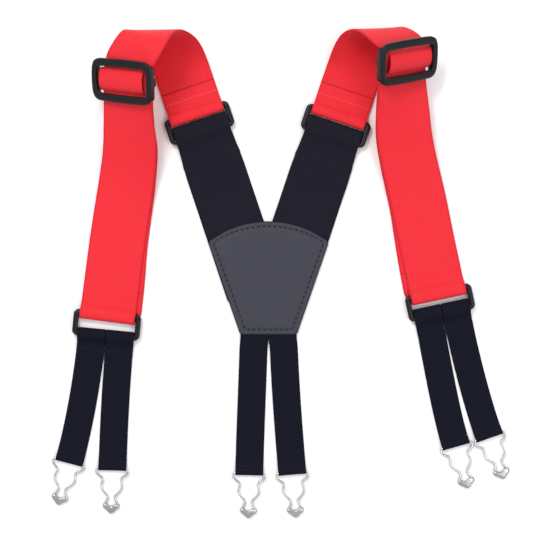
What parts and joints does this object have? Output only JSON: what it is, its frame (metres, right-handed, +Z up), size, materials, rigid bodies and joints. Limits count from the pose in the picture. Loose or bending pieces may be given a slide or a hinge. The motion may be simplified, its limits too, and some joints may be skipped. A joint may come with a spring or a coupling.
{
  "type": "work braces",
  "caption": "Heavy-duty work braces with a Y-shaped back: red webbing shoulders with slider adjusters, black elastic back and legs, wire button clips.",
  "frame": {"origin": "centre of the back patch's underside, on the table the braces are laid on", "axes": "+Z up from the table, +Y from the patch towards the shoulders, +X to the right seen from above"},
  "size_m": [0.4116, 0.4401, 0.0661],
  "materials": {
    "patch_leather": "fine grained slate leather-look, matt",
    "patch_lining": "matt, darker than the outer layer",
    "back_elastic": "woven black elastic, matt",
    "leg_elastic": "ribbed black elastic, matt",
    "red_webbing": "plain woven bright red webbing, slight sheen",
    "black_plastic": "moulded, satin",
    "nickel_wire": "bright nickel plate",
    "nickel_sheet": "dull nickel plate"
  },
  "bodies": {
    "back": {"patch_outer": "patch_leather", "patch_lining": "patch_lining", "left_back_elastic": "back_elastic", "right_back_elastic": "back_elastic", "left_back_leg": "leg_elastic", "right_back_leg": "leg_elastic"},
    "left_back_ring": {"left_back_ring": "black_plastic"},
    "left_shoulder": {"left_shoulder_webbing": "red_webbing"},
    "left_front_strap": {"left_front_fold": "red_webbing", "left_front_webbing": "red_webbing", "left_return_webbing": "red_webbing"},
    "left_adjuster": {"left_adjuster": "black_plastic", "left_adjuster_tail": "red_webbing"},
    "left_front_ring": {"left_front_ring": "black_plastic"},
    "left_outer_leg": {"left_outer_leg": "leg_elastic"},
    "left_inner_leg": {"left_inner_leg": "leg_elastic"},
    "left_back_clip": {"left_back_clip_wire": "nickel_wire", "left_back_clip_tab": "nickel_sheet"},
    "left_outer_clip": {"left_outer_clip_wire": "nickel_wire", "left_outer_clip_tab": "nickel_sheet"},
    "left_inner_clip": {"left_inner_clip_wire": "nickel_wire", "left_inner_clip_tab": "nickel_sheet"},
    "right_back_ring": {"right_back_ring": "black_plastic"},
    "right_shoulder": {"right_shoulder_webbing": "red_webbing"},
    "right_front_strap": {"right_front_fold": "red_webbing", "right_front_webbing": "red_webbing", "right_return_webbing": "red_webbing"},
    "right_adjuster": {"right_adjuster": "black_plastic", "right_adjuster_tail": "red_webbing"},
    "right_front_ring": {"right_front_ring": "black_plastic"},
    "right_outer_leg": {"right_outer_leg": "leg_elastic"},
    "right_inner_leg": {"right_inner_leg": "leg_elastic"},
    "right_back_clip": {"right_back_clip_wire": "nickel_wire", "right_back_clip_tab": "nickel_sheet"},
    "right_outer_clip": {"right_outer_clip_wire": "nickel_wire", "right_outer_clip_tab": "nickel_sheet"},
    "right_inner_clip": {"right_inner_clip_wire": "nickel_wire", "right_inner_clip_tab": "nickel_sheet"}
  },
  "joints": [
    {"name": "left_back_ring_tilt", "type": "hinge", "parent": "back", "child": "left_back_ring", "pos_m": [-0.05892, 0.13, 0.0041], "axis": [0.9483, 0.3173, 0], "range_deg": [0, 20]},
    {"name": "left_shoulder_fold", "type": "hinge", "parent": "left_back_ring", "child": "left_shoulder", "pos_m": [-0.06508, 0.1484, 0.0041], "axis": [-0.9483, -0.3173, 0], "range_deg": [0, 35]},
    {"name": "left_front_length", "type": "slide", "parent": "left_shoulder", "child": "left_front_strap", "axis": [-0.1288, -0.9917, 0], "range_m": [0, 0.008], "deforming": ["left_front_webbing", "left_return_webbing"]},
    {"name": "left_adjuster_slide", "type": "slide", "parent": "left_front_strap", "child": "left_adjuster", "axis": [0.1163, -0.8218, -0.5578], "range_m": [0, 0.00896], "deforming": ["left_return_webbing"]},
    {"name": "left_front_ring_tilt", "type": "hinge", "parent": "left_front_strap", "child": "left_front_ring", "pos_m": [-0.14427, -0.03225, 0.0041], "axis": [-0.9954, 0.0958, 0], "range_deg": [0, 45]},
    {"name": "left_outer_leg_lift", "type": "hinge", "parent": "left_front_ring", "child": "left_outer_leg", "pos_m": [-0.14613, -0.05155, 0.0041], "axis": [-0.9954, 0.0958, 0], "range_deg": [0, 60]},
    {"name": "left_inner_leg_lift", "type": "hinge", "parent": "left_front_ring", "child": "left_inner_leg", "pos_m": [-0.14613, -0.05155, 0.0041], "axis": [-0.9954, 0.0958, 0], "range_deg": [0, 60]},
    {"name": "left_outer_clip_swing", "type": "hinge", "parent": "left_outer_leg", "child": "left_outer_clip", "pos_m": [-0.179, -0.1646, 0.0024], "axis": [-0.9681, 0.2504, 0], "range_deg": [0, 150]},
    {"name": "left_inner_clip_swing", "type": "hinge", "parent": "left_inner_leg", "child": "left_inner_clip", "pos_m": [-0.1404, -0.171, 0.0024], "axis": [-0.9996, 0.0297, 0], "range_deg": [0, 150]},
    {"name": "left_back_clip_swing", "type": "hinge", "parent": "back", "child": "left_back_clip", "pos_m": [-0.0173, -0.1753, 0.0024], "axis": [-0.9998, 0.0209, 0], "range_deg": [0, 150]},
    {"name": "right_back_ring_tilt", "type": "hinge", "parent": "back", "child": "right_back_ring", "pos_m": [0.05722, 0.1274, 0.0041], "axis": [0.9483, -0.3173, 0], "range_deg": [0, 20]},
    {"name": "right_shoulder_fold", "type": "hinge", "parent": "right_back_ring", "child": "right_shoulder", "pos_m": [0.06338, 0.1458, 0.0041], "axis": [-0.9483, 0.3173, 0], "range_deg": [0, 35]},
    {"name": "right_front_length", "type": "slide", "parent": "right_shoulder", "child": "right_front_strap", "axis": [0.2079, -0.9781, 0], "range_m": [0, 0.008], "deforming": ["right_front_webbing", "right_return_webbing"]},
    {"name": "right_adjuster_slide", "type": "slide", "parent": "right_front_strap", "child": "right_adjuster", "axis": [-0.1758, -0.7297, -0.6608], "range_m": [0, 0.00956], "deforming": ["right_return_webbing"]},
    {"name": "right_front_ring_tilt", "type": "hinge", "parent": "right_front_strap", "child": "right_front_ring", "pos_m": [0.15188, -0.01251, 0.0041], "axis": [-0.9781, -0.2079, 0], "range_deg": [0, 45]},
    {"name": "right_outer_leg_lift", "type": "hinge", "parent": "right_front_ring", "child": "right_outer_leg", "pos_m": [0.15592, -0.03149, 0.0041], "axis": [-0.9781, -0.2079, 0], "range_deg": [0, 60]},
    {"name": "right_inner_leg_lift", "type": "hinge", "parent": "right_front_ring", "child": "right_inner_leg", "pos_m": [0.15592, -0.03149, 0.0041], "axis": [-0.9781, -0.2079, 0], "range_deg": [0, 60]},
    {"name": "right_outer_clip_swing", "type": "hinge", "parent": "right_outer_leg", "child": "right_outer_clip", "pos_m": [0.1983, -0.142, 0.0024], "axis": [-0.9455, -0.3256, 0], "range_deg": [0, 150]},
    {"name": "right_inner_clip_swing", "type": "hinge", "parent": "right_inner_leg", "child": "right_inner_clip", "pos_m": [0.1683, -0.1498, 0.0024], "axis": [-0.9613, -0.2756, 0], "range_deg": [0, 150]},
    {"name": "right_back_clip_swing", "type": "hinge", "parent": "back", "child": "right_back_clip", "pos_m": [0.0213, -0.1748, 0.0024], "axis": [-0.9965, -0.0837, 0], "range_deg": [0, 150]}
  ],
  "couplings": [
    {"joint": "left_adjuster_slide", "follows": "left_front_length", "ratio": 1.1079},
    {"joint": "right_adjuster_slide", "follows": "right_front_length", "ratio": 1.1826}
  ]
}
